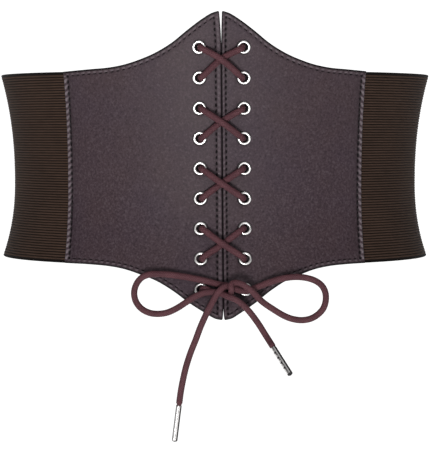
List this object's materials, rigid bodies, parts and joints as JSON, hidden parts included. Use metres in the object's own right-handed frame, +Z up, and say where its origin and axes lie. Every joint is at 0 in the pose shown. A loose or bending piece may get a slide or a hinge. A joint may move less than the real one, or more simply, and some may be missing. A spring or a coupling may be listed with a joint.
{
  "type": "corset belt",
  "caption": "Waist-cinching corset belt: two pointed leather front panels laced together over eyelets with a cord tied in a bow, and ribbed elastic sides closed at the back.",
  "frame": {"origin": "centre of the hollow that the waist fills, at the level where it is narrowest", "axes": "+Z up along the wearer's body, -Y out of the laced front, +X towards the wearer's left"},
  "size_m": [0.2996, 0.2524, 0.2751],
  "materials": {
    "leather": "smooth dark brown leather, fine grain, satin",
    "elastic": "ribbed dark brown elastic webbing, matt",
    "lace": "round braided reddish brown lace, matt",
    "metal": "nickel plated, polished"
  },
  "bodies": {
    "root": {"panel_left": "leather", "panel_right": "leather", "elastic_left": "elastic", "elastic_right": "elastic", "back_closure": "leather", "eyelet_left_1": "metal", "eyelet_left_2": "metal", "eyelet_left_3": "metal", "eyelet_left_4": "metal", "eyelet_left_5": "metal", "eyelet_left_6": "metal", "eyelet_left_7": "metal", "eyelet_left_8": "metal", "eyelet_left_9": "metal", "eyelet_right_1": "metal", "eyelet_right_2": "metal", "eyelet_right_3": "metal", "eyelet_right_4": "metal", "eyelet_right_5": "metal", "eyelet_right_6": "metal", "eyelet_right_7": "metal", "eyelet_right_8": "metal", "eyelet_right_9": "metal", "lacing": "lace", "lace_end_left": "lace", "lace_end_right": "lace", "aglet_left": "metal", "aglet_right": "metal"}
  },
  "joints": []
}
